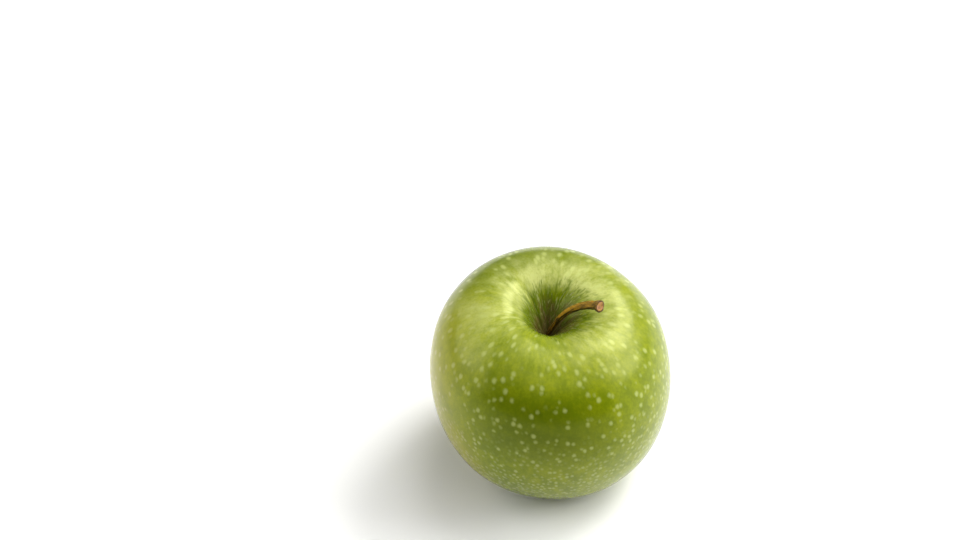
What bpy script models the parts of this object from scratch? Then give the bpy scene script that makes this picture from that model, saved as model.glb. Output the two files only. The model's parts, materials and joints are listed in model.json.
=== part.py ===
"""A green apple: one fruit, its stem, and the dried calyx in the basin of its base.

Frame: metres, +Z up along the core, with the origin on the surface that the apple rests on, below
the middle of its bounding box. The stem leans toward +X, and the higher shoulder is at +Y.
"""

import math

import bpy
from mathutils import Vector

MM = 0.001

# The fruit's body, before its two hollows
RADIUS = 39.1 * MM
HALF_HEIGHT = 37.4 * MM
OVAL = 0.020  # how much deeper (Y) than wide (X) the body is, as a share
SHOULDER = 0.014  # moves the widest place above the middle
SQUARENESS = 0.040  # fills the flanks out beyond a circle
END_FULLNESS = 0.017  # rounds the two ends
LEAN = Vector((-2.1 * MM, -1.6 * MM))  # sideways shift of the crown, and of the base the other way
CROWN_TILT = Vector((-0.010, 0.115))  # rise of the crown along X and Y

# The stem cavity in the crown: a funnel, wider on the side that the stem leans to
CAVITY_DEPTH = 20.0 * MM
CAVITY_SCALE = 7.0 * MM
CAVITY_ROUNDING = 2.6 * MM
CAVITY_STRETCH = 0.22
CAVITY_STRETCH_AZIMUTH = math.radians(15)

# The calyx basin in the base
BASIN_DEPTH = 12.5 * MM
BASIN_RADIUS = 11.0 * MM

# The five lobes: as many as the apple has seed chambers
LOBES = 5
LOBE_AZIMUTH = math.radians(30)
BASE_LOBE_RISE = 1.1 * MM  # how far the valleys between the base lobes stand above the floor
BASE_LOBE_RADIUS = 16.0 * MM
CROWN_LOBE_DROP = 0.9 * MM
CROWN_LOBE_RADIUS = 17.0 * MM
LOBE_SPREAD = 9.0 * MM
FLANK_LOBE = 0.010  # five-sidedness of the lower flank, as a share of the radius
FLAT_SPOT = 0.5 * MM  # height of flesh pressed flat under each lobe

SEGMENTS = 64
RINGS = 36
RING_CROWDING = 0.22  # pulls the rings of the mesh toward the two hollows

# The stem, as (x, y, height above the cavity floor, thickness)
STEM_ROUTE = (
    (0.0, 0.0, 0.9, 1.2),
    (0.4, 0.1, 2.8, 1.8),
    (1.8, 0.3, 5.8, 1.8),
    (4.7, 0.2, 11.1, 2.0),
    (8.9, -0.5, 15.5, 2.3),
    (13.1, -1.9, 18.3, 2.8),
    (15.3, -3.1, 19.4, 3.6),
    (16.3, -3.8, 19.9, 3.9),
)
STEM_SIDES = 4  # bevel resolution of the round section
STEM_STEPS = 3  # rings between two points of the route

# The calyx: five dried sepals round a tuft of dried stamens
SEPALS = 5
SEPAL_LENGTH = 6.0 * MM
SEPAL_WIDTH = 2.7 * MM
SEPAL_TIP_WIDTH = 0.5 * MM
SEPAL_THICKNESS = 0.5 * MM
SEPAL_ROOT_RADIUS = 2.7 * MM
SEPAL_ROOT_DROP = 1.3 * MM  # the basin curves down this far by the sepals' roots, with a gap
SEPAL_SPLAY = 2.2 * MM  # how far the tip stands outside the root
SEPAL_CURL = 1.3 * MM  # how far the middle bows outward
SEPAL_CUP = 1 / 6  # how far the blade's edges fold inward, as a share of its width
SEPAL_TAPER = 1.5  # above 1, the blade stays wide near its root
SEPAL_SLACK = 0.18  # height that the blade loses by bending
SEPAL_COLUMNS = 3
SEPAL_ROWS = 8
STAMENS = 9
STAMEN_LENGTH = 3.6 * MM
STAMEN_RADIUS = 0.28 * MM
STAMEN_TIP = 0.7  # radius of the tip, as a share of the root's
STAMEN_SIDES = 6
STAMEN_LEAN = math.radians(17)
TUFT_RADIUS = 1.3 * MM
TUFT_RING = 0.55  # where the filaments stand, as a share of the hub's radius
TUFT_SIDES = 16
TUFT_HEIGHT = 1.2 * MM
GAP = 0.3 * MM


def clear_scene():
    for obj in list(bpy.data.objects):
        bpy.data.objects.remove(obj, do_unlink=True)


def new_collection(name, hidden=False):
    collection = bpy.data.collections.new(name)
    collection.hide_render = hidden
    bpy.context.scene.collection.children.link(collection)
    return collection


def material(name, colour, roughness):
    made = bpy.data.materials.new(name)
    made.use_nodes = True
    shader = made.node_tree.nodes["Principled BSDF"]
    shader.inputs["Base Color"].default_value = (*colour, 1.0)
    shader.inputs["Roughness"].default_value = roughness
    shader.inputs["Metallic"].default_value = 0.0
    made.diffuse_color = (*colour, 1.0)
    return made


def keep(obj, name, collection, look):
    """Names the object, moves it into its collection and gives it its material."""
    obj.name = name
    obj.data.name = name
    for holder in list(obj.users_collection):
        holder.objects.unlink(obj)
    collection.objects.link(obj)
    obj.data.materials.clear()
    obj.data.materials.append(look)
    return obj


def bump(distance, centre):
    """1 at the centre distance, falling off smoothly to both sides."""
    return math.exp(-(((distance - centre) / LOBE_SPREAD) ** 2))


def valley(azimuth):
    """0 on a lobe and 1 midway between two."""
    return (1 - math.cos(LOBES * (azimuth - LOBE_AZIMUTH))) / 2


def cavity_drop(distance, azimuth):
    """How far the stem cavity lies below the body at this distance from the core."""
    stretch = 1 + CAVITY_STRETCH * math.cos(azimuth - CAVITY_STRETCH_AZIMUTH)
    rounded = math.hypot(distance, CAVITY_ROUNDING) - CAVITY_ROUNDING
    return CAVITY_DEPTH * math.exp(-rounded / (CAVITY_SCALE * stretch))


def basin_rise(distance):
    return BASIN_DEPTH * math.exp(-((distance / BASIN_RADIUS) ** 2))


def skin_point(polar, azimuth):
    """The skin's point at an angle down from the crown and an angle round the core, about the
    middle of the body."""
    distance = (
        RADIUS
        * (math.sin(polar) + SHOULDER * math.sin(2 * polar) + SQUARENESS * math.sin(3 * polar))
        / (1 - SQUARENESS)
    )
    share = (math.cos(polar) - END_FULLNESS * math.cos(3 * polar)) / (1 - END_FULLNESS)
    height = HALF_HEIGHT * share
    x = distance * math.cos(azimuth) * (1 - OVAL / 2)
    y = distance * math.sin(azimuth) * (1 + OVAL / 2)
    if share > 0:
        height += (CROWN_TILT.x * x + CROWN_TILT.y * y) * share
        height -= cavity_drop(distance, azimuth)
        height -= CROWN_LOBE_DROP * valley(azimuth) * bump(distance, CROWN_LOBE_RADIUS)
    else:
        flank = 1 - FLANK_LOBE * valley(azimuth) * share * share
        x *= flank
        y *= flank
        height += basin_rise(distance)
        height += BASE_LOBE_RISE * valley(azimuth) * bump(distance, BASE_LOBE_RADIUS)
    return Vector((x + LEAN.x * share, y + LEAN.y * share, height))


def crowded(polar):
    """Moves a ring's polar angle toward the nearer pole."""
    return polar - RING_CROWDING * math.sin(2 * polar)


def build_fruit():
    """A UV sphere shaped into the fruit. Returns it with the shift that stands it on the floor."""
    bpy.ops.mesh.primitive_uv_sphere_add(segments=SEGMENTS, ring_count=RINGS, radius=1.0)
    fruit = bpy.context.object
    mesh = fruit.data
    for vertex in mesh.vertices:
        polar = math.acos(max(-1.0, min(1.0, vertex.co.z)))
        azimuth = math.atan2(vertex.co.y, vertex.co.x)
        vertex.co = skin_point(crowded(polar), azimuth)
    lows = [min(vertex.co[axis] for vertex in mesh.vertices) for axis in range(3)]
    highs = [max(vertex.co[axis] for vertex in mesh.vertices) for axis in range(3)]
    shift = Vector(
        (
            -(lows[0] + highs[0]) / 2,
            -(lows[1] + highs[1]) / 2,
            -(lows[2] + FLAT_SPOT),
        )
    )
    for vertex in mesh.vertices:
        vertex.co += shift
        vertex.co.z = max(vertex.co.z, 0.0)
    mesh.shade_smooth()
    return fruit, shift


def curve_object(name, points, thicknesses):
    """A round rod along a smooth curve through the points."""
    curve = bpy.data.curves.new(name, "CURVE")
    curve.dimensions = "3D"
    curve.bevel_depth = 1.0
    curve.bevel_resolution = STEM_SIDES
    curve.use_fill_caps = True
    curve.resolution_u = STEM_STEPS
    spline = curve.splines.new("BEZIER")
    spline.bezier_points.add(len(points) - 1)
    for knot, point, thickness in zip(spline.bezier_points, points, thicknesses):
        knot.co = point
        knot.radius = thickness / 2
        knot.handle_left_type = "AUTO"
        knot.handle_right_type = "AUTO"
    return bpy.data.objects.new(name, curve)


def build_stem(floor):
    points = [floor + Vector((x, y, z)) * MM for x, y, z, _ in STEM_ROUTE]
    thicknesses = [thickness * MM for *_, thickness in STEM_ROUTE]
    stem = curve_object("stem", points, thicknesses)
    bpy.context.scene.collection.objects.link(stem)
    return stem


def build_sepal(root, azimuth):
    """A dried sepal hanging from the basin floor: a tapered blade, bowed outward."""
    bpy.ops.mesh.primitive_grid_add(x_subdivisions=SEPAL_COLUMNS, y_subdivisions=SEPAL_ROWS, size=1.0)
    sepal = bpy.context.object
    outward = Vector((math.cos(azimuth), math.sin(azimuth), 0))
    across = Vector((-outward.y, outward.x, 0))
    for vertex in sepal.data.vertices:
        along = vertex.co.y + 0.5
        width = SEPAL_WIDTH + (SEPAL_TIP_WIDTH - SEPAL_WIDTH) * along**SEPAL_TAPER
        cup = (2 * vertex.co.x) ** 2 * width * SEPAL_CUP
        reach = SEPAL_ROOT_RADIUS + SEPAL_SPLAY * along**2 + SEPAL_CURL * math.sin(math.pi * along)
        vertex.co = (
            root
            + outward * (reach - cup)
            + across * (vertex.co.x * width)
            - Vector((0, 0, SEPAL_LENGTH * along * (1 - SEPAL_SLACK * along)))
        )
    thickness = sepal.modifiers.new("Thickness", "SOLIDIFY")
    thickness.thickness = SEPAL_THICKNESS
    thickness.offset = 0.0
    sepal.data.shade_smooth()
    return sepal


def build_stamens(root, helpers, look):
    """A low hub with thin filaments fanning out of it, joined into one body."""
    bpy.ops.mesh.primitive_cylinder_add(
        vertices=TUFT_SIDES,
        radius=TUFT_RADIUS,
        depth=TUFT_HEIGHT,
        location=root - Vector((0, 0, TUFT_HEIGHT / 2)),
    )
    hub = bpy.context.object
    for number in range(STAMENS):
        azimuth = 2 * math.pi * number / STAMENS
        outward = Vector((math.cos(azimuth), math.sin(azimuth), 0))
        direction = outward * math.sin(STAMEN_LEAN)
        direction.z = -math.cos(STAMEN_LEAN)
        start = root + outward * TUFT_RADIUS * TUFT_RING - Vector((0, 0, TUFT_HEIGHT / 2))
        bpy.ops.mesh.primitive_cone_add(
            vertices=STAMEN_SIDES,
            radius1=STAMEN_RADIUS,
            radius2=STAMEN_RADIUS * STAMEN_TIP,
            depth=STAMEN_LENGTH,
            location=start + direction * STAMEN_LENGTH / 2,
            rotation=direction.to_track_quat("Z", "Y").to_euler(),
        )
        filament = keep(bpy.context.object, f"stamen_filament_{number + 1}", helpers, look)
        filament.hide_render = True
        filament.display_type = "WIRE"
        join = hub.modifiers.new(f"Filament {number + 1}", "BOOLEAN")
        join.operation = "UNION"
        join.object = filament
    return hub


def main():
    clear_scene()
    parts = new_collection("Apple")
    helpers = new_collection("Apple helpers", hidden=True)
    skin = material("Green skin", (0.33, 0.45, 0.04), 0.35)
    bark = material("Stem bark", (0.20, 0.10, 0.03), 0.65)
    dried = material("Dried calyx", (0.16, 0.12, 0.05), 0.80)

    fruit, shift = build_fruit()
    keep(fruit, "fruit", parts, skin)

    keep(build_stem(skin_point(0.0, 0.0) + shift), "stem", parts, bark)

    basin_floor = skin_point(math.pi, 0.0) + shift
    for number in range(SEPALS):
        azimuth = LOBE_AZIMUTH + 2 * math.pi * number / SEPALS
        sepal = build_sepal(basin_floor - Vector((0, 0, SEPAL_ROOT_DROP)), azimuth)
        keep(sepal, f"sepal_{number + 1}", parts, dried)

    stamens = build_stamens(basin_floor - Vector((0, 0, GAP)), helpers, dried)
    keep(stamens, "stamens", parts, dried)


main()
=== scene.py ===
"""A green apple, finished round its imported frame: skin, stem and dried calyx, on a white table.

Laid out as an add-on: each piece has an operator, and the settings hold its sizes and colours.
"""

import json
import math
from types import SimpleNamespace

import bpy
import numpy as np
from bpy.props import FloatProperty, FloatVectorProperty, IntProperty, PointerProperty
from mathutils import Matrix, Vector, noise
from mathutils.geometry import interpolate_bezier

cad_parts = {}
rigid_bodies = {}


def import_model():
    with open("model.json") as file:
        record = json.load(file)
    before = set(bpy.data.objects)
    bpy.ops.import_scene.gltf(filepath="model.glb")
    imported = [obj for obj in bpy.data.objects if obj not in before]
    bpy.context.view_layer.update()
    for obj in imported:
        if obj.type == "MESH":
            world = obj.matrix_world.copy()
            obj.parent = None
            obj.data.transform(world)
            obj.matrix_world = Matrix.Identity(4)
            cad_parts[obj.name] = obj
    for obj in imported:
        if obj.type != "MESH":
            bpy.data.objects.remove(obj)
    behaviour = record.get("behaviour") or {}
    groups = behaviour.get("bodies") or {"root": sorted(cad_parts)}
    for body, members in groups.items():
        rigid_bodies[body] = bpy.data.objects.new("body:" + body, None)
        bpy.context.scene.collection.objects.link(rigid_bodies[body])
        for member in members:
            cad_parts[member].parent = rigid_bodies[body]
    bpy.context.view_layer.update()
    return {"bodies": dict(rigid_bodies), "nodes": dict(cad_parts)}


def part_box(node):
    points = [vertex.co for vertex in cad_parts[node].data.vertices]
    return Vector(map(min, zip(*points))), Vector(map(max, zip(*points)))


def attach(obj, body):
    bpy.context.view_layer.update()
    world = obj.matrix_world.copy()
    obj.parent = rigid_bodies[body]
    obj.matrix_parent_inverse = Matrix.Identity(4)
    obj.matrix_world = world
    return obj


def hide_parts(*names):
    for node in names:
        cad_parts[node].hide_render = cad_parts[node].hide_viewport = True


bl_info = {
    "name": "Green Apple",
    "version": (1, 0, 0),
    "blender": (4, 5, 0),
    "location": "View3D > Sidebar > Apple",
    "description": "Builds a green apple with its stem and calyx",
    "category": "Add Mesh",
}

MM = 0.001
MERGE = 0.01 * MM
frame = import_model()
NODES = frame["nodes"]
BODY = next(iter(frame["bodies"]))
SEPAL_NODES = sorted(name for name in NODES if name.startswith("sepal_"))


# Places that the pieces share, read from the frame


def points_of(mesh):
    co = np.empty(len(mesh.vertices) * 3)
    mesh.vertices.foreach_get("co", co)
    return co.reshape(-1, 3)


def lowest_point(node):
    points = points_of(NODES[node].data)
    return Vector(points[points[:, 2].argmin()])


def middle_of(node):
    low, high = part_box(node)
    return (low + high) / 2


FRUIT_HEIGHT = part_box("fruit")[1].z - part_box("fruit")[0].z
STEM_ROOT = lowest_point("stem")
CALYX = middle_of("stamens")


# Settings


def colour(name, text, value):
    return FloatVectorProperty(
        name=name, description=text, default=value, size=3, min=0.0, max=1.0, subtype="COLOR"
    )


def length(name, text, value):
    return FloatProperty(name=name, description=text, default=value, subtype="DISTANCE", unit="LENGTH")


def angle(name, text, degrees):
    return FloatProperty(name=name, description=text, default=math.radians(degrees), subtype="ANGLE")


def share(name, text, value):
    return FloatProperty(name=name, description=text, default=value, min=0.0, max=1.0, subtype="FACTOR")


class SkinSettings(bpy.types.PropertyGroup):
    smoothness: IntProperty(name="Smoothness", description="Subdivisions of the fruit", default=2)
    waviness: length("Waviness", "Height of the broad swells in the flesh", 0.35 * MM)
    furrows: length("Furrows", "Depth of the folds that run into the stem cavity", 0.32 * MM)
    green: colour("Green", "Skin that grew in the shade", (0.118, 0.158, 0.001))
    yellow: colour("Yellow green", "Skin that grew in the light", (0.212, 0.246, 0.002))
    # Deep green is painted shade, mixed in at the back left and across the front; it is not the skin's
    # own colour
    deep: colour("Deep green", "Darkest skin, at the back and across the front", (0.070, 0.102, 0.001))
    blush: colour("Blush", "Olive tan tint on the side that faced the sun", (0.330, 0.285, 0.026))
    # Pale mottling is the skin's own milky colour; at the back it is strengthened as a painted highlight
    pale: colour("Pale mottling", "Milky skin round the stem cavity", (0.400, 0.425, 0.135))
    dots: colour("Dots", "The pale dots of the skin", (0.370, 0.410, 0.130))
    tan_dots: colour("Tan dots", "Dots on the side that faced the sun", (0.420, 0.330, 0.150))
    hollow: colour("Hollow", "Dark green skin in the stem cavity", (0.060, 0.098, 0.001))
    russet: colour("Russet", "Brown cork deep in the cavity", (0.092, 0.052, 0.016))
    hairs: colour("Hairs", "Fine pale lines that run into the cavity", (0.360, 0.360, 0.150))
    gloss: share("Gloss", "Strength of the wax over the skin", 0.06)


class StemSettings(bpy.types.PropertyGroup):
    bark: colour("Bark", "Orange brown bark", (0.430, 0.225, 0.010))
    # Underside: a dark olive painted as shade on the side of the stem that faces down; it also tints the
    # blotches and the swollen end
    under: colour("Underside", "Olive bark on the shaded side", (0.050, 0.034, 0.004))
    dark: colour("Flecks", "Dark flecks and the rim of the cut", (0.050, 0.022, 0.008))
    cut: colour("Cut", "The cut end", (0.400, 0.190, 0.100))
    ridges: share("Ridges", "Depth of the ridges along the stem, as a share of its radius", 0.09)


class CalyxSettings(bpy.types.PropertyGroup):
    dry: colour("Dry leaf", "Dried sepals", (0.260, 0.165, 0.075))
    edge: colour("Edge", "Brittle edges and tips", (0.085, 0.050, 0.022))
    filament: colour("Filaments", "Dried stamens", (0.310, 0.205, 0.095))
    crinkle: length("Crinkle", "How far a dried sepal is creased out of shape", 0.16 * MM)


class StageSettings(bpy.types.PropertyGroup):
    lens: FloatProperty(name="Lens", description="Focal length in millimetres", default=63.75)
    elevation: angle("Elevation", "Camera above the table", 45)
    turn: angle("Turn", "Camera round the apple", 3.4)
    distance: length("Distance", "Camera to the middle of the apple", 0.547)
    aim: length("Aim", "Height of the middle of the apple above the table", 37 * MM)
    pan: angle("Pan", "Aim to the left of the apple", 3.35)
    tilt: angle("Tilt", "Aim above the apple", 3.24)
    table: colour("Table", "White table", (0.810, 0.810, 0.795))


def settings():
    return bpy.context.scene.apple


# Modelling helpers


def select_only(obj):
    bpy.ops.object.select_all(action="DESELECT")
    obj.select_set(True)
    bpy.context.view_layer.objects.active = obj


def copy_of_node(node, name):
    """A copy of a frame node with its loose triangles merged into a closed quad mesh."""
    select_only(NODES[node])
    bpy.ops.object.duplicate()
    piece = bpy.context.object
    piece.name = name
    piece.parent = None
    for key in [key for key in piece.keys() if key.startswith("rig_")]:
        del piece[key]
    select_only(piece)
    flat = math.radians(60)
    bpy.ops.object.mode_set(mode="EDIT")
    bpy.ops.mesh.select_all(action="SELECT")
    bpy.ops.mesh.remove_doubles(threshold=MERGE)
    bpy.ops.mesh.tris_convert_to_quads(face_threshold=flat, shape_threshold=flat)
    bpy.ops.object.mode_set(mode="OBJECT")
    return piece


def subdivide(piece, levels):
    modifier = piece.modifiers.new("Smooth", "SUBSURF")
    modifier.levels = levels
    modifier.render_levels = levels
    select_only(piece)
    bpy.ops.object.modifier_apply(modifier=modifier.name)


def normals_of(mesh):
    normals = np.empty(len(mesh.vertices) * 3)
    mesh.vertex_normals.foreach_get("vector", normals)
    return normals.reshape(-1, 3)


def set_points(mesh, points):
    mesh.vertices.foreach_set("co", points.ravel())
    mesh.update()


def write_attribute(mesh, name, values):
    """Stores a number or a vector for each vertex, for the materials to read."""
    values = np.asarray(values, np.float32)
    kind, field = ("FLOAT", "value") if values.ndim == 1 else ("FLOAT_VECTOR", "vector")
    attribute = mesh.attributes.new(name, kind, "POINT")
    attribute.data.foreach_set(field, values.ravel())


def finish_piece(piece, material, slot, *replaced):
    piece.data.shade_smooth()
    piece.data.materials.clear()
    piece.data.materials.append(material)
    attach(piece, BODY)
    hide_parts(*replaced)


def smoothstep(low, high, value):
    t = np.clip((value - low) / (high - low), 0.0, 1.0)
    return t * t * (3 - 2 * t)


# Material helpers


class Graph:
    """A node tree with short calls: a socket is given a value or another node's output."""

    def __init__(self, tree):
        self.tree = tree
        self.column = 0

    def node(self, kind, output=0, inputs=None, **values):
        made = self.tree.nodes.new(kind)
        self.column += 1
        made.location = (self.column * 60, -(self.column % 12) * 120)
        for key, value in values.items():
            setattr(made, key, value)
        for key, value in (inputs or {}).items():
            self.give(made.inputs[key], value)
        return made.outputs[output] if output is not None else made

    def give(self, socket, value):
        if isinstance(value, bpy.types.NodeSocket):
            self.tree.links.new(value, socket)
        else:
            socket.default_value = value

    def maths(self, operation, first, second):
        return self.node("ShaderNodeMath", 0, {0: first, 1: second}, operation=operation)

    def times(self, first, *others):
        for other in others:
            first = self.maths("MULTIPLY", first, other)
        return first

    def plus(self, first, second):
        return self.maths("ADD", first, second)

    def less(self, first, second):
        return self.maths("SUBTRACT", first, second)

    def most(self, first, second):
        return self.maths("MAXIMUM", first, second)

    def total(self, *masks):
        """The sum of some masks, each given with its weight."""
        added = self.times(*masks[0])
        for mask, weight in masks[1:]:
            added = self.plus(added, self.times(mask, weight))
        return added

    def step(self, value, low, high):
        """0 at low and 1 at high, with a smooth change between them. High may be the smaller."""
        return self.node(
            "ShaderNodeMapRange",
            0,
            {"Value": value, "From Min": low, "From Max": high},
            interpolation_type="SMOOTHSTEP",
        )

    def mix(self, factor, first, second):
        """Mixes two colours; a plain colour is three numbers."""
        made = self.node("ShaderNodeMix", None, {"Factor": factor}, data_type="RGBA")
        for name, value in (("A_Color", first), ("B_Color", second)):
            socket = next(socket for socket in made.inputs if socket.identifier == name)
            self.give(socket, value if isinstance(value, bpy.types.NodeSocket) else (*value, 1.0))
        return next(socket for socket in made.outputs if socket.identifier == "Result_Color")

    def noise(self, vector, scale, detail=2.0, roughness=0.5):
        inputs = {"Vector": vector, "Scale": scale, "Detail": detail, "Roughness": roughness}
        return self.node("ShaderNodeTexNoise", 0, inputs)

    def cells(self, vector, scale, randomness):
        """Distance to the nearest of a set of scattered points, in cells."""
        inputs = {"Vector": vector, "Scale": scale, "Randomness": randomness}
        return self.node("ShaderNodeTexVoronoi", "Distance", inputs)

    def part(self, vector, axis):
        return self.node("ShaderNodeSeparateXYZ", axis, {"Vector": vector})

    def attribute(self, name, output="Fac"):
        return self.node("ShaderNodeAttribute", output, attribute_name=name)

    def bump(self, height, distance, strength):
        inputs = {"Height": height, "Distance": distance, "Strength": strength}
        return self.node("ShaderNodeBump", 0, inputs)

    def objects(self):
        return self.node("ShaderNodeTexCoord", "Object")

    def group(self, tree, inputs, output=0):
        return self.node("ShaderNodeGroup", output, inputs, node_tree=tree)


def new_material(name):
    """A material with a bare Principled shader. Returns it, its graph and the shader."""
    material = bpy.data.materials.new(name)
    material.use_nodes = True
    graph = Graph(material.node_tree)
    shader = material.node_tree.nodes["Principled BSDF"]
    return material, graph, shader


def wire(graph, shader, **outputs):
    """Links outputs to the shader's sockets, named with _ for a space."""
    for name, output in outputs.items():
        graph.tree.links.new(output, shader.inputs[name.replace("_", " ")])


def new_group(name, inputs, output):
    """A shader node group with a vector, then numbers whose names and defaults inputs gives."""
    tree = bpy.data.node_groups.new(name, "ShaderNodeTree")
    tree.interface.new_socket("Vector", in_out="INPUT", socket_type="NodeSocketVector")
    for label, default in inputs.items():
        socket = tree.interface.new_socket(label, in_out="INPUT", socket_type="NodeSocketFloat")
        socket.default_value = default
    tree.interface.new_socket(output, in_out="OUTPUT", socket_type="NodeSocketFloat")
    graph = Graph(tree)
    start = graph.node("NodeGroupInput", None)
    finish = graph.node("NodeGroupOutput", None)
    return tree, graph, start.outputs, finish.inputs


def mottle_group():
    """Cloudy patches, from 0 to 1. A smaller contrast gives them sharper edges."""
    inputs = {"Scale": 20.0, "Detail": 4.0, "Contrast": 0.3, "Amount": 1.0}
    tree, graph, given, made = new_group("Mottle", inputs, "Mask")
    clouds = graph.noise(given["Vector"], given["Scale"], given["Detail"], 0.6)
    spread = graph.times(given["Contrast"], 0.5)
    mask = graph.step(clouds, graph.less(0.5, spread), graph.plus(0.5, spread))
    tree.links.new(graph.times(mask, given["Amount"]), made["Mask"])
    return tree


def fibres_group():
    """Fine strands: the vector's third part runs along them."""
    inputs = {"Scale": 20.0, "Length": 6.0, "Low": 0.5, "High": 0.7}
    tree, graph, given, made = new_group("Fibres", inputs, "Mask")
    along = graph.maths("DIVIDE", 1.0, given["Length"])
    squeeze = graph.node("ShaderNodeCombineXYZ", 0, {"X": 1.0, "Y": 1.0, "Z": along})
    inputs = {0: given["Vector"], 1: squeeze}
    vector = graph.node("ShaderNodeVectorMath", 0, inputs, operation="MULTIPLY")
    strands = graph.noise(vector, given["Scale"], 3.0, 0.55)
    tree.links.new(graph.step(strands, given["Low"], given["High"]), made["Mask"])
    return tree


def mottle(graph, vector, scale, contrast, amount=1.0, detail=4.0):
    tree = bpy.data.node_groups.get("Mottle") or mottle_group()
    inputs = {"Vector": vector, "Scale": scale, "Detail": detail, "Contrast": contrast, "Amount": amount}
    return graph.group(tree, inputs, "Mask")


def fibres(graph, vector, scale, long, low, high):
    tree = bpy.data.node_groups.get("Fibres") or fibres_group()
    inputs = {"Vector": vector, "Scale": scale, "Length": long, "Low": low, "High": high}
    return graph.group(tree, inputs, "Mask")


# The skin

# The way to the back left of the apple, and how far the colours of its two hollows reach: those of the
# cavity reach farther on one side, whose azimuth is in radians. On that side, under the stem, the
# cavity's dark green is partly the skin's own and partly a painted shadow of the stem.
# BACK_LEFT is the side where deep green is painted as shade
BACK_LEFT = (-0.5, 0.87, 0.0)
CAVITY_REACH = 11.0 * MM
CAVITY_LEAN = 0.35
CAVITY_LEAN_AZIMUTH = 0.2
BASIN_REACH = 9.0 * MM

# The length on the skin that the strands' patterns count as one
STROKE_UNIT = 20.0 * MM

# How the young skin's polar angle follows the grown one, in degrees: young skin near the stem is
# stretched lengthwise, and skin near the calyx is hardly stretched at all
YOUNG_START = 12.0
YOUNG_RATE = 0.42
YOUNG_GAIN = 0.0030
YOUNG_TURN = 25.0

# Noise scales of the swells and of the folds round the stem, and where the folds start and fade
SWELL_SCALE = 38.0
FOLD_SCALE = 4.5
FOLD_CHANGE = 60.0
FOLD_START = 3 * MM
FOLD_FADE = 11 * MM


def skin_places(graph):
    """The coordinates on the skin, and the patterns that several of its colours share."""
    at = SimpleNamespace()
    at.place = graph.objects()
    at.growth = graph.attribute("growth", "Vector")
    at.radial = graph.attribute("radial", "Vector")
    at.polar = graph.attribute("polar")
    at.cavity = graph.attribute("cavity")
    at.back = graph.part(at.radial, "Y")
    at.broad = graph.noise(at.place, 26.0, 3.0, 0.55)
    at.cloudy = mottle(graph, at.growth, scale=16.0, contrast=0.35)
    at.sunny = graph.step(graph.part(at.growth, "X"), -0.30, -0.90)
    rays = fibres(graph, at.radial, scale=8.0, long=2.2, low=0.30, high=0.70)
    thin_rays = fibres(graph, at.radial, scale=26.0, long=2.6, low=0.30, high=0.70)
    at.torn = graph.total((rays, 0.36), (thin_rays, 0.44))
    at.torn_cavity = graph.plus(at.cavity, graph.less(at.torn, 0.40))
    at.torn_basin = graph.plus(graph.attribute("basin"), graph.less(at.torn, 0.38))
    return at


def ground_colour(graph, at, look):
    """Green and yellow green in broad clouds, a fine mottling over both, and a tan side."""
    fine = mottle(graph, at.growth, scale=62.0, contrast=0.45)
    streaks = fibres(graph, at.radial, scale=14.0, long=3.0, low=0.30, high=0.70)
    tone = graph.total((at.broad, 0.60), (at.cloudy, 0.14), (fine, 0.15), (streaks, 0.12))
    base = graph.mix(graph.step(tone, 0.32, 0.73), look.green, look.yellow)
    blush = graph.times(at.sunny, graph.step(at.broad, 0.20, 0.60), 0.74)
    return graph.mix(blush, base, look.blush)


def add_crown(graph, at, look, base):
    """Milky mottling on the crown, in short strokes drawn out toward the stem.

    It is narrower at the back, and nearly gone on the lip at the front. The mottling is the skin's own;
    its extra strength at the back is a painted highlight along the back rim.
    """
    behind = graph.step(at.back, 0.10, 0.90)
    lip = graph.step(at.back, -0.62, -0.95)
    spread = graph.step(graph.plus(at.polar, graph.times(behind, 0.035)), 0.34, 0.16)
    crown = graph.times(spread, graph.step(at.cavity, 0.22, -0.14))
    crown = graph.times(crown, graph.less(1.0, graph.times(lip, 0.72)))
    strokes = fibres(graph, at.radial, scale=7.0, long=1.5, low=0.34, high=0.72)
    grain = fibres(graph, at.radial, scale=32.0, long=1.2, low=0.36, high=0.64)
    patches = mottle(graph, at.growth, scale=7.0, contrast=0.34, detail=3.0)
    marks = graph.total((strokes, 0.22), (patches, 0.48), (grain, 0.16))
    # Stronger at the back: a painted highlight along the back rim
    marks = graph.times(marks, graph.plus(graph.times(behind, 0.62), 0.80))
    return graph.mix(graph.times(crown, graph.plus(marks, 0.06)), base, look.pale)


def add_painted_shade(graph, at, look, base):
    """Painted shade in deep green: on the outer crown at the back left, and in a loose band across the
    front.
    """
    inputs = {0: at.radial, 1: BACK_LEFT}
    away = graph.node("ShaderNodeVectorMath", "Value", inputs, operation="DOT_PRODUCT")
    outer_crown = graph.times(graph.step(at.polar, 0.10, 0.22), graph.step(at.polar, 0.52, 0.36))
    behind = graph.times(graph.step(away, 0.40, 0.92), outer_crown)
    middle = graph.times(graph.step(at.polar, 0.26, 0.34), graph.step(at.polar, 0.56, 0.40))
    band = graph.times(middle, graph.step(at.back, -0.74, -1.0))
    band = graph.times(band, graph.plus(graph.times(at.cloudy, 0.35), 0.50))
    return graph.mix(graph.most(graph.times(behind, 0.62), band), base, look.deep)


def dots_layer(graph, growth, scale, radius, patchy):
    """Dots scattered over the skin: 1 in a dot's middle, 0 outside. Radius is in cells."""
    uneven = graph.less(graph.times(graph.noise(growth, scale * 2.5, 1.0), 0.22), 0.11)
    distance = graph.plus(graph.cells(growth, scale, 0.85), uneven)
    dots = graph.step(distance, radius * 1.08, radius * 0.25)
    here = graph.step(graph.noise(growth, scale * 0.30, 1.0), patchy, patchy + 0.16)
    return graph.times(dots, here)


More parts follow.
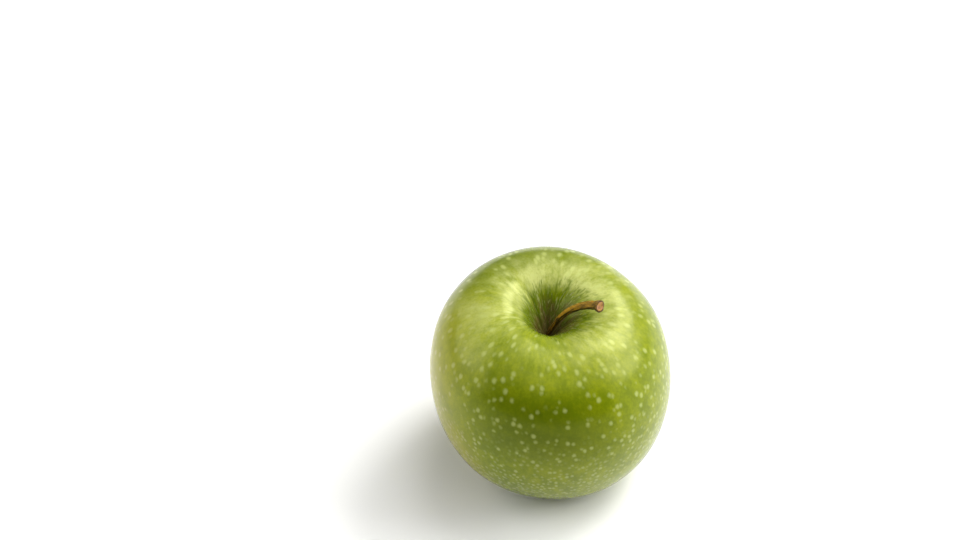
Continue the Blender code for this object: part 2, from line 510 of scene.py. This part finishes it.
def skin_dots(graph, at):
    """Where the dots are: large ones all over, and small ones crowded toward the base."""
    large = dots_layer(graph, at.growth, scale=19.0, radius=0.38, patchy=0.22)
    small = dots_layer(graph, at.growth, scale=22.0, radius=0.40, patchy=0.20)
    small = graph.times(small, graph.step(at.polar, 0.38, 0.60), 0.85)
    return graph.times(graph.most(large, small), graph.step(at.cavity, 0.06, -0.22))


def add_hollows(graph, at, look, base):
    """The cavity and the basin: dark green with ragged rays, then brown cork.

    Fine pale lines run down into the cavity, over both.
    """
    base = graph.mix(graph.times(graph.step(at.torn_cavity, -0.14, 0.42), 0.88), base, look.hollow)
    base = graph.mix(graph.times(graph.step(at.torn_cavity, 0.48, 0.92), 0.92), base, look.russet)
    worn = mottle(graph, at.radial, scale=4.0, contrast=0.24)
    worn = graph.times(worn, graph.step(at.cavity, 0.10, 0.48), 0.68)
    base = graph.mix(worn, base, look.russet)
    reach = graph.times(graph.step(at.cavity, -0.20, 0.16), graph.step(at.cavity, 1.0, 0.80))
    hairs = fibres(graph, at.radial, scale=24.0, long=2.0, low=0.54, high=0.68)
    base = graph.mix(graph.times(hairs, reach, 0.44), base, look.hairs)
    base = graph.mix(graph.times(graph.step(at.torn_basin, 0.15, 0.6), 0.6), base, look.hollow)
    return graph.mix(graph.times(graph.step(at.torn_basin, 0.50, 0.85), 0.8), base, look.russet)


def skin_material():
    look = settings().skin
    material, graph, shader = new_material("Green skin")
    at = skin_places(graph)
    dots = skin_dots(graph, at)

    base = ground_colour(graph, at, look)
    base = add_crown(graph, at, look, base)
    # Painted shade: deep green at the back left and across the front
    base = add_painted_shade(graph, at, look, base)
    dot_colour = graph.mix(at.sunny, look.dots, look.tan_dots)
    base = graph.mix(graph.times(dots, 0.60), base, dot_colour)
    base = add_hollows(graph, at, look, base)

    # Wax, rubbed here and there, and dull cork
    dull = graph.most(graph.step(at.torn_cavity, 0.2, 0.8), graph.step(at.torn_basin, 0.4, 0.9))
    rubbed = mottle(graph, at.place, scale=120.0, contrast=0.5, amount=0.07)
    roughness = graph.plus(graph.times(dull, 0.34), graph.plus(rubbed, 0.20))
    coat = graph.times(graph.less(1.0, dull), look.gloss)

    # Relief: pores, faint dimples, raised dots and the grain of the cork
    pores = graph.noise(at.place, 700.0, 3.0, 0.6)
    dimples = graph.noise(at.place, 230.0, 2.0, 0.5)
    cork = graph.times(at.torn, graph.step(at.cavity, -0.1, 0.4))
    relief = graph.total((pores, 0.22), (dimples, 0.40), (dots, 0.08), (cork, 1.8))
    normal = graph.bump(relief, 0.16 * MM, 0.35)

    wire(graph, shader, Base_Color=base, Roughness=roughness, Coat_Weight=coat, Normal=normal)
    shader.inputs["Coat Roughness"].default_value = 0.20
    shader.inputs["Coat IOR"].default_value = 1.45
    shader.inputs["Specular IOR Level"].default_value = 0.24
    shader.inputs["Specular Tint"].default_value = (1.0, 1.0, 0.28, 1.0)
    shader.inputs["Subsurface Weight"].default_value = 0.10
    shader.inputs["Subsurface Radius"].default_value = (1.0, 0.9, 0.1)
    shader.inputs["Subsurface Scale"].default_value = 2 * MM
    return material


def arc_lengths(polar, distance, height):
    """How far each point is from the stem, measured over the skin."""
    rings = np.linspace(0.0, 180.0, 91)
    half_ring = (rings[1] - rings[0]) / 2
    ring = np.digitize(polar, rings) - 1
    seen = np.unique(ring)
    out = np.array([distance[ring == k].mean() for k in seen])
    up = np.array([height[ring == k].mean() for k in seen])
    lengths = np.concatenate([[0.0], np.cumsum(np.hypot(np.diff(out), np.diff(up)))])
    return np.interp(polar, rings[seen] + half_ring, lengths)


def skin_coordinates(mesh):
    """Attributes that place patterns on the skin as they grew on the young fruit."""
    points = points_of(mesh)
    share_up = (points[:, 2] - CALYX.z) / (STEM_ROOT.z - CALYX.z)
    x = points[:, 0] - (CALYX.x + (STEM_ROOT.x - CALYX.x) * share_up)
    y = points[:, 1] - (CALYX.y + (STEM_ROOT.y - CALYX.y) * share_up)
    z = points[:, 2] - FRUIT_HEIGHT * 0.5
    distance = np.hypot(x, y)
    azimuth = np.arctan2(y, x)
    polar = np.degrees(np.arctan2(distance, z))
    past_turn = np.clip(polar - YOUNG_TURN, 0, None)
    young = np.radians(YOUNG_START + YOUNG_RATE * polar + YOUNG_GAIN * past_turn**2)
    ring_x, ring_y = np.cos(azimuth), np.sin(azimuth)
    from_stem = arc_lengths(polar, distance, z) / STROKE_UNIT
    above = z > 0
    # Farther on the stem's side: partly a painted shadow of the stem
    cavity_reach = CAVITY_REACH * (1 + CAVITY_LEAN * np.cos(azimuth - CAVITY_LEAN_AZIMUTH))
    cavity = np.where(above, 1 - distance / cavity_reach, -1.0)
    basin = np.where(above, -1.0, 1 - distance / BASIN_REACH)
    growth = np.stack([np.sin(young) * ring_x, np.sin(young) * ring_y, np.cos(young)], 1)
    write_attribute(mesh, "growth", growth)
    write_attribute(mesh, "radial", np.stack([ring_x, ring_y, from_stem], 1))
    write_attribute(mesh, "polar", polar / 180.0)
    write_attribute(mesh, "cavity", np.clip(cavity, -1, 1))
    write_attribute(mesh, "basin", np.clip(basin, -1, 1))
    return distance, azimuth, z


class APPLE_OT_fruit(bpy.types.Operator):
    """Builds the fruit: the frame's form, smoothed, with swells and the folds of its cavity"""

    bl_idname = "apple.fruit"
    bl_label = "Fruit"

    def execute(self, context):
        look = settings().skin
        fruit = copy_of_node("fruit", "green_fruit")
        subdivide(fruit, look.smoothness)
        mesh = fruit.data
        distance, azimuth, height = skin_coordinates(mesh)
        points, normals = points_of(mesh), normals_of(mesh)
        near_stem = np.exp(-((distance / FOLD_FADE) ** 2)) * (height > 0)
        lift = np.zeros(len(points))
        for index, point in enumerate(points):
            swell = noise.fractal(Vector(point) * SWELL_SCALE, 1.0, 2.0, 2)
            ring = Vector((math.cos(azimuth[index]), math.sin(azimuth[index]), 0.0))
            fold = noise.noise(ring * FOLD_SCALE + Vector((0, 0, distance[index] * FOLD_CHANGE)))
            fold *= near_stem[index] * min(1.0, distance[index] / FOLD_START)
            lift[index] = look.waviness * swell + look.furrows * fold
        points += normals * lift[:, None]
        points[:, 2] = np.clip(points[:, 2], 0.0, None)
        set_points(mesh, points)
        finish_piece(fruit, skin_material(), "skin", "fruit")
        return {"FINISHED"}


# The stem

# Knots along the stem: x, y, height above its root, and thickness, in millimetres
STEM_KNOTS = (
    (0.0, 0.0, 0.0, 1.2),
    (0.4, 0.1, 1.9, 1.6),
    (1.8, 0.3, 4.9, 1.6),
    (4.7, 0.2, 10.2, 1.8),
    (8.9, -0.5, 14.6, 2.15),
    (13.1, -1.9, 17.4, 2.6),
    (15.3, -3.1, 18.5, 3.3),
    (16.2, -3.75, 18.9, 3.7),
)
STEM_TIP_RADIUS = STEM_KNOTS[-1][3] / 2 * MM
STEM_STEPS = 16

CUT_RIM = 0.30 * MM
CUT_DEPTH = 0.22 * MM
CUT_ROUGHNESS = 0.16 * MM
CUT_ROUGH_SCALE = 1600.0
CUT_START = 0.999
PITH_RISE = 0.6
CAP_FACING = 0.97
CAP_REACH = 0.5 * MM

# Ridges round the stem and their twist in radians; the thin neck under the swollen end, by its
# place along the stem; and the knobbles of the bark. Depths are shares of the stem's radius.
STEM_RIDGES = 6
STEM_TWIST = 1.2
NECK_PLACE = 0.915
NECK_WIDTH = 0.030
NECK_DEPTH = 0.13
FLARE = 0.06
FLARE_START = 0.945
FLARE_END = 0.985
KNOBBLES = 0.09
KNOBBLE_SCALE = 900.0
GRAIN_LENGTH = 12.0

# Limits of the stem's radius as a share of the frame's, so that it stays inside the frame
THINNEST = 0.75
THICKEST = 1.08


def stem_curve():
    """A smooth rod through the knots, as a mesh, with the line down its middle."""
    bpy.ops.object.select_all(action="DESELECT")
    bpy.ops.curve.primitive_bezier_curve_add()
    rod = bpy.context.object
    curve = rod.data
    curve.bevel_depth = 1.0
    curve.bevel_resolution = 14
    curve.use_fill_caps = True
    curve.resolution_u = STEM_STEPS
    spline = curve.splines[0]
    spline.bezier_points.add(len(STEM_KNOTS) - 2)
    for knot, (x, y, height, thickness) in zip(spline.bezier_points, STEM_KNOTS):
        knot.handle_left_type = "AUTO"
        knot.handle_right_type = "AUTO"
        knot.co = STEM_ROOT + Vector((x, y, height)) * MM
        knot.radius = thickness / 2 * MM
    bpy.context.view_layer.update()
    line = []
    knots = spline.bezier_points
    for here, after in zip(knots[:-1], knots[1:]):
        ends = (here.co, here.handle_right, after.handle_left, after.co)
        line += interpolate_bezier(*ends, STEM_STEPS)[:-1]
    line = np.array([*line, knots[-1].co])
    select_only(rod)
    bpy.ops.object.convert(target="MESH")
    return bpy.context.object, line


def along_line(points, line):
    """For each point: its share of the way along the line, and the nearest place on it."""
    steps = np.diff(line, axis=0)
    lengths = np.linalg.norm(steps, axis=1)
    starts = np.concatenate([[0], np.cumsum(lengths)])
    best = np.full(len(points), np.inf)
    share_along = np.zeros(len(points))
    nearest = np.zeros((len(points), 3))
    for index, (start, step) in enumerate(zip(line[:-1], steps)):
        t = np.clip(((points - start) @ step) / lengths[index] ** 2, 0, 1)
        foot = start + t[:, None] * step
        gap = np.linalg.norm(points - foot, axis=1)
        closer = gap < best - 1e-9
        best[closer] = gap[closer]
        nearest[closer] = foot[closer]
        share_along[closer] = (starts[index] + t[closer] * lengths[index]) / starts[-1]
    return share_along, nearest


def cut_the_end(stem, tip, aim):
    """The cut: a rim, a shallow dish, and a little pith standing in it."""
    select_only(stem)
    bpy.ops.object.mode_set(mode="EDIT")
    bpy.ops.mesh.select_all(action="SELECT")
    bpy.ops.mesh.remove_doubles(threshold=MERGE)
    bpy.ops.mesh.select_mode(type="FACE")
    bpy.ops.mesh.select_all(action="DESELECT")
    bpy.ops.object.mode_set(mode="OBJECT")
    for face in stem.data.polygons:
        near = (face.center - tip).length < CAP_REACH
        face.select = near and face.normal.dot(aim) > CAP_FACING
    bpy.ops.object.mode_set(mode="EDIT")
    bpy.ops.mesh.inset(thickness=CUT_RIM)
    bpy.ops.transform.translate(value=-aim * CUT_DEPTH)
    for _ in range(3):
        bpy.ops.mesh.inset(thickness=CUT_RIM)
    bpy.ops.transform.translate(value=aim * CUT_DEPTH * PITH_RISE)
    bpy.ops.mesh.poke()
    bpy.ops.mesh.select_all(action="SELECT")
    bpy.ops.mesh.normals_make_consistent(inside=False)
    bpy.ops.object.mode_set(mode="OBJECT")


def shape_stem(mesh, line, aim, ridges):
    """Ridges, neck, flare and knobbles, with the attributes that the bark reads."""
    points = points_of(mesh)
    along, middle = along_line(points, line)
    outward = points - middle
    forward = np.array(aim)
    sideways = np.array(Vector((0, 0, 1)).cross(aim).normalized())
    flat = outward - (outward @ forward)[:, None] * forward
    at_end = along > CUT_START
    inner = np.where(at_end, 1 - np.linalg.norm(flat, axis=1) / STEM_TIP_RADIUS, 0.0)
    around = np.arctan2(outward[:, 2], outward @ sideways)
    turns = around + along * STEM_TWIST
    ridge = np.cos(STEM_RIDGES * turns) * 0.6 + np.cos(STEM_RIDGES / 2 * turns + 1.0) * 0.4
    grow = 1 + ridges * ridge
    grow -= NECK_DEPTH * np.exp(-(((along - NECK_PLACE) / NECK_WIDTH) ** 2))
    grow += FLARE * smoothstep(FLARE_START, FLARE_END, along)
    beyond = np.zeros(len(points))
    for index, point in enumerate(points):
        place = Vector(point)
        grow[index] += KNOBBLES * noise.fractal(place * KNOBBLE_SCALE, 1.0, 2.0, 3)
        if at_end[index]:
            beyond[index] = CUT_ROUGHNESS * noise.noise(place * CUT_ROUGH_SCALE)
    grow = np.where(at_end, 1.0, np.clip(grow, THINNEST, THICKEST))
    set_points(mesh, middle + outward * grow[:, None] + beyond[:, None] * forward)
    grain = np.stack([np.cos(around), np.sin(around), along * GRAIN_LENGTH], 1)
    write_attribute(mesh, "grain", grain)
    write_attribute(mesh, "along", along)
    # under: how far the surface faces down, the mask of the stem's painted shade
    write_attribute(mesh, "under", 0.5 - 0.5 * normals_of(mesh)[:, 2])
    write_attribute(mesh, "cut", np.clip(inner * 3.0, 0, 1))


def stem_material():
    look = settings().stem
    material, graph, shader = new_material("Stem bark")
    grain = graph.attribute("grain", "Vector")
    cut = graph.attribute("cut")
    along = graph.attribute("along")
    strands = fibres(graph, grain, scale=3.2, long=4.0, low=0.30, high=0.70)
    fine = fibres(graph, grain, scale=9.0, long=6.0, low=0.35, high=0.68)
    blotches = mottle(graph, grain, scale=1.6, contrast=0.25)

    # Bark, with olive painted as shade underneath, and blotches and dark flecks
    shade = graph.plus(graph.attribute("under"), graph.times(graph.less(strands, 0.5), 0.55))
    base = graph.mix(graph.step(shade, 0.25, 0.50), look.bark, look.under)
    base = graph.mix(graph.times(blotches, 0.35), base, look.under)
    base = graph.mix(graph.times(graph.step(fine, 0.55, 0.95), 0.45), base, look.dark)

    # Darker where it leaves the cavity, a dark collar under the cut, and an olive swollen end
    base = graph.mix(graph.times(graph.step(along, 0.42, 0.04), 0.80), base, look.dark)
    blotched = graph.plus(graph.times(blotches, 0.4), 0.35)
    base = graph.mix(graph.times(graph.step(along, 0.90, 0.97), blotched), base, look.dark)
    stranded = graph.plus(graph.times(strands, 0.45), 0.22)
    base = graph.mix(graph.times(graph.step(along, 0.58, 0.80), stranded), base, look.under)

    # The face of the cut, with dark specks, and its dark rim
    place = graph.objects()
    patches = mottle(graph, place, scale=800.0, contrast=0.25)
    face = graph.mix(graph.times(patches, 0.65), look.cut, look.bark)
    specks = graph.step(graph.noise(place, 1500.0), 0.47, 0.64)
    face = graph.mix(graph.times(specks, 0.7), face, look.dark)
    base = graph.mix(graph.step(cut, 0.45, 0.75), base, face)
    rim = graph.times(graph.step(cut, 0.05, 0.30), graph.step(cut, 0.80, 0.50))
    base = graph.mix(graph.times(rim, 0.85), base, look.dark)

    roughness = graph.plus(graph.total((strands, 0.20), (cut, 0.25)), 0.36)
    height = graph.total((strands, 0.9), (fine, 0.5), (graph.times(patches, cut), 1.2))
    normal = graph.bump(height, 0.09 * MM, 0.8)
    wire(graph, shader, Base_Color=base, Roughness=roughness, Normal=normal)
    shader.inputs["Specular IOR Level"].default_value = 0.30
    shader.inputs["Specular Tint"].default_value = (1.0, 0.85, 0.50, 1.0)
    return material


class APPLE_OT_stem(bpy.types.Operator):
    """Builds the stem: a ridged, curved rod that swells to a rough cut end"""

    bl_idname = "apple.stem"
    bl_label = "Stem"

    def execute(self, context):
        stem, line = stem_curve()
        stem.name = "woody_stem"
        tip = Vector(line[-1])
        aim = (tip - Vector(line[-4])).normalized()
        cut_the_end(stem, tip, aim)
        subdivide(stem, 1)
        shape_stem(stem.data, line, aim, settings().stem.ridges)
        finish_piece(stem, stem_material(), "stem_bark", "stem")
        return {"FINISHED"}


# The calyx

# A sepal's half width at its root, how much of it is gone at the tip, and the least it may be; then
# the scale of the creases, and the shifts that make each sepal's creases and veins its own
SEPAL_HALF = 1.35 * MM
SEPAL_TAPER = 1.1 * MM
SEPAL_LEAST = 0.2 * MM
CREASE_SCALE = 420.0
CREASE_SHIFT = 20 * MM
BLADE_SHIFT = 7.0

FILAMENTS = 12
FILAMENT_SPREAD = 1.25 * MM
FILAMENT_REACH = 0.72
FILAMENT_RADIUS = 0.11 * MM
FILAMENT_BEND = 0.55 * MM
ANTHER_RADIUS = 0.24 * MM
ROOT_DEPTH = 0.3 * MM
ROOT_STAGGER = 0.5 * MM


def calyx_material(name, ground):
    look = settings().calyx
    material, graph, shader = new_material(name)
    blade = graph.attribute("blade", "Vector")
    veins = fibres(graph, blade, scale=5.0, long=5.0, low=0.35, high=0.65)
    spots = mottle(graph, blade, scale=4.0, contrast=0.3)
    base = graph.mix(graph.times(veins, 0.55), ground, look.edge)
    base = graph.mix(graph.times(spots, 0.35), base, look.edge)
    worn = graph.plus(graph.attribute("edge"), graph.times(graph.less(spots, 0.5), 0.35))
    base = graph.mix(graph.step(worn, 0.55, 0.95), base, look.edge)
    roughness = graph.plus(graph.times(spots, 0.15), 0.70)
    normal = graph.bump(graph.plus(veins, graph.times(spots, 0.6)), 0.08 * MM, 0.8)
    wire(graph, shader, Base_Color=base, Roughness=roughness, Normal=normal)
    shader.inputs["Specular IOR Level"].default_value = 0.3
    return material


class APPLE_OT_sepals(bpy.types.Operator):
    """Builds the dried sepals: the frame's blades, smoothed and creased"""

    bl_idname = "apple.sepals"
    bl_label = "Sepals"

    def execute(self, context):
        look = settings().calyx
        material = calyx_material("Dried sepal", look.dry)
        for number, node in enumerate(SEPAL_NODES):
            sepal = copy_of_node(node, f"dried_{node}")
            subdivide(sepal, 2)
            self.crease(sepal.data, number, look.crinkle)
            finish_piece(sepal, material, "dried_calyx", node)
        return {"FINISHED"}

    def crease(self, mesh, number, crinkle):
        """Creases a blade, more toward its tip, and marks its length, width and edge."""
        points, normals = points_of(mesh), normals_of(mesh)
        middle = (points.min(0) + points.max(0)) / 2
        azimuth = math.atan2(middle[1] - CALYX.y, middle[0] - CALYX.x)
        sideways = np.array([-math.sin(azimuth), math.cos(azimuth), 0.0])
        top, low = points[:, 2].max(), points[:, 2].min()
        along = (top - points[:, 2]) / (top - low)
        across = (points - middle) @ sideways
        half = np.maximum(SEPAL_HALF - SEPAL_TAPER * along**1.5, SEPAL_LEAST)
        for index, point in enumerate(points):
            place = Vector(point) + Vector((0, 0, number * CREASE_SHIFT))
            crease = noise.fractal(place * CREASE_SCALE, 1.0, 2.0, 3)
            points[index] += normals[index] * crease * crinkle * (0.3 + 0.7 * along[index])
        set_points(mesh, points)
        apart = np.full(len(along), number * BLADE_SHIFT)
        rim = np.maximum(np.abs(across) / half, smoothstep(0.75, 1.0, along))
        write_attribute(mesh, "blade", np.stack([across / MM, apart, along * 6], 1))
        write_attribute(mesh, "edge", np.clip(rim, 0, 1))


class APPLE_OT_stamens(bpy.types.Operator):
    """Builds the dried stamens: a fibrous hub and bent filaments that end in anthers"""

    bl_idname = "apple.stamens"
    bl_label = "Stamens"

    def execute(self, context):
        look = settings().calyx
        tuft = copy_of_node("stamens", "dried_stamens")
        subdivide(tuft, 1)
        low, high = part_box("stamens")
        filament = self.filament((high.z - low.z) * FILAMENT_REACH)
        pieces = [tuft]
        for number in range(FILAMENTS):
            bpy.ops.object.select_all(action="DESELECT")
            copy = filament.copy()
            copy.data = filament.data.copy()
            bpy.context.scene.collection.objects.link(copy)
            turn = 2 * math.pi * (number + 0.5) / FILAMENTS
            spread = FILAMENT_SPREAD * (0.55 + 0.35 * (number % 3) / 2)
            root = Vector((CALYX.x + math.cos(turn) * spread, CALYX.y + math.sin(turn) * spread, 0.0))
            root.z = high.z - ROOT_STAGGER * (number % 2) - ROOT_DEPTH
            copy.data.transform(Matrix.Translation(root) @ Matrix.Rotation(turn, 4, "Z"))
            pieces.append(copy)
        bpy.data.objects.remove(filament)
        bpy.ops.object.select_all(action="DESELECT")
        for piece in pieces:
            piece.select_set(True)
        bpy.context.view_layer.objects.active = tuft
        bpy.ops.object.join()
        mesh = tuft.data
        points = points_of(mesh)
        down = (high.z - points[:, 2]) / (high.z - low.z)
        blade = np.stack([points[:, 0] / MM, points[:, 1] / MM, down * 4], 1)
        write_attribute(mesh, "blade", blade)
        write_attribute(mesh, "edge", smoothstep(0.70, 0.95, down) * 0.9)
        finish_piece(tuft, calyx_material("Dried stamens", look.filament), "dried_calyx", "stamens")
        return {"FINISHED"}

    def filament(self, reach):
        """One filament, hanging from the origin, bent outward, with its anther."""
        bpy.ops.object.select_all(action="DESELECT")
        bpy.ops.mesh.primitive_cylinder_add(
            vertices=6, radius=FILAMENT_RADIUS, depth=reach, location=(0, 0, -reach / 2)
        )
        rod = bpy.context.object
        bpy.ops.object.transform_apply()
        bpy.ops.object.mode_set(mode="EDIT")
        for share_down in (0.33, 0.66):
            bpy.ops.mesh.select_all(action="SELECT")
            bpy.ops.mesh.bisect(plane_co=(0, 0, -reach * share_down), plane_no=(0, 0, 1))
        bpy.ops.object.mode_set(mode="OBJECT")
        for vertex in rod.data.vertices:
            vertex.co.x += FILAMENT_BEND * (vertex.co.z / reach) ** 2
        bpy.ops.mesh.primitive_uv_sphere_add(
            segments=8, ring_count=5, radius=ANTHER_RADIUS, location=(FILAMENT_BEND, 0, -reach)
        )
        anther = bpy.context.object
        anther.scale = (0.8, 0.8, 1.5)
        rod.select_set(True)
        bpy.context.view_layer.objects.active = anther
        bpy.ops.object.transform_apply()
        bpy.ops.object.join()
        return bpy.context.object


# The stage

TABLE_SIZE = 12.0
TABLE_ROUGHNESS = 0.6
SENSOR_WIDTH = 36.0
CLIP_START = 10 * MM
ROOM = (0.05, 0.05, 0.05)
BACKDROP = (1.0, 1.0, 1.0)

# Soft lights: azimuth and elevation, width across the sky in degrees, brightness of their face
LIGHTS = (
    ("key_light", 46, 44, 30, 10.8),
    ("high_light", 58, 62, 42, 3.6),
    ("side_light", 12, 32, 36, 6.8),
    ("low_side_light", 0, 14, 44, 2.0),
    ("top_light", 340, 68, 44, 1.2),
    ("rear_light", 120, 62, 44, 0.2),
    ("left_light", 176, 36, 44, 2.7),
    ("low_left_light", 196, 18, 44, 2.0),
    ("front_light", 300, 64, 40, 0.6),
)


def soft_light(name, azimuth, elevation, width, brightness):
    """A distant round softbox of an even brightness."""
    bpy.ops.object.light_add(type="SUN")
    light = bpy.context.object
    light.name = name
    light.rotation_euler = (math.radians(90 - elevation), 0.0, math.radians(azimuth + 90))
    light.data.angle = math.radians(width)
    light.data.energy = brightness * math.pi * math.sin(math.radians(width / 2)) ** 2


class APPLE_OT_stage(bpy.types.Operator):
    """Sets the table, the soft studio light and the camera"""

    bl_idname = "apple.stage"
    bl_label = "Stage"

    def execute(self, context):
        stage = settings().stage
        self.table(stage)
        for light in LIGHTS:
            soft_light(*light)
        context.scene.world = self.surroundings()
        context.scene.camera = self.camera(stage)
        context.scene.view_settings.view_transform = "Standard"
        return {"FINISHED"}

    def table(self, stage):
        bpy.ops.object.select_all(action="DESELECT")
        bpy.ops.mesh.primitive_plane_add(size=TABLE_SIZE)
        table = bpy.context.object
        table.name = "table"
        material, _, shader = new_material("White table")
        shader.inputs["Base Color"].default_value = (*stage.table, 1.0)
        shader.inputs["Roughness"].default_value = TABLE_ROUGHNESS
        table.data.materials.append(material)

    def surroundings(self):
        """A dim room that looks white to the camera."""
        world = bpy.data.worlds.new("Studio")
        world.use_nodes = True
        graph = Graph(world.node_tree)
        seen = graph.node("ShaderNodeLightPath", "Is Camera Ray")
        background = world.node_tree.nodes["Background"]
        graph.tree.links.new(graph.mix(seen, ROOM, BACKDROP), background.inputs["Color"])
        return world

    def camera(self, stage):
        """The camera, turned a little off the apple so that the apple isn't in mid-picture."""
        bpy.ops.object.camera_add()
        camera = bpy.context.object
        camera.name = "camera"
        camera.data.lens = stage.lens
        camera.data.sensor_width = SENSOR_WIDTH
        camera.data.clip_start = CLIP_START
        flat = math.cos(stage.elevation) * stage.distance
        up = math.sin(stage.elevation) * stage.distance
        offset = Vector((math.sin(stage.turn) * flat, -math.cos(stage.turn) * flat, up))
        camera.location = Vector((0, 0, stage.aim)) + offset
        pitch = math.pi / 2 - (stage.elevation - stage.tilt)
        camera.rotation_euler = (pitch, 0.0, stage.turn + stage.pan)
        return camera


# Settings, panel and running


class AppleSettings(bpy.types.PropertyGroup):
    skin: PointerProperty(type=SkinSettings)
    stem: PointerProperty(type=StemSettings)
    calyx: PointerProperty(type=CalyxSettings)
    stage: PointerProperty(type=StageSettings)


OPERATORS = (APPLE_OT_fruit, APPLE_OT_stem, APPLE_OT_sepals, APPLE_OT_stamens, APPLE_OT_stage)


class APPLE_PT_panel(bpy.types.Panel):
    bl_label = "Apple"
    bl_idname = "APPLE_PT_panel"
    bl_space_type = "VIEW_3D"
    bl_region_type = "UI"
    bl_category = "Apple"

    def draw(self, context):
        for operator in OPERATORS:
            self.layout.operator(operator.bl_idname)


CLASSES = (
    SkinSettings,
    StemSettings,
    CalyxSettings,
    StageSettings,
    AppleSettings,
    *OPERATORS,
    APPLE_PT_panel,
)


def register():
    for cls in CLASSES:
        bpy.utils.register_class(cls)
    bpy.types.Scene.apple = PointerProperty(type=AppleSettings)


def unregister():
    del bpy.types.Scene.apple
    for cls in reversed(CLASSES):
        bpy.utils.unregister_class(cls)


def main():
    register()
    bpy.ops.apple.fruit()
    bpy.ops.apple.stem()
    bpy.ops.apple.sepals()
    bpy.ops.apple.stamens()
    bpy.ops.apple.stage()


if __name__ == "__main__":
    main()
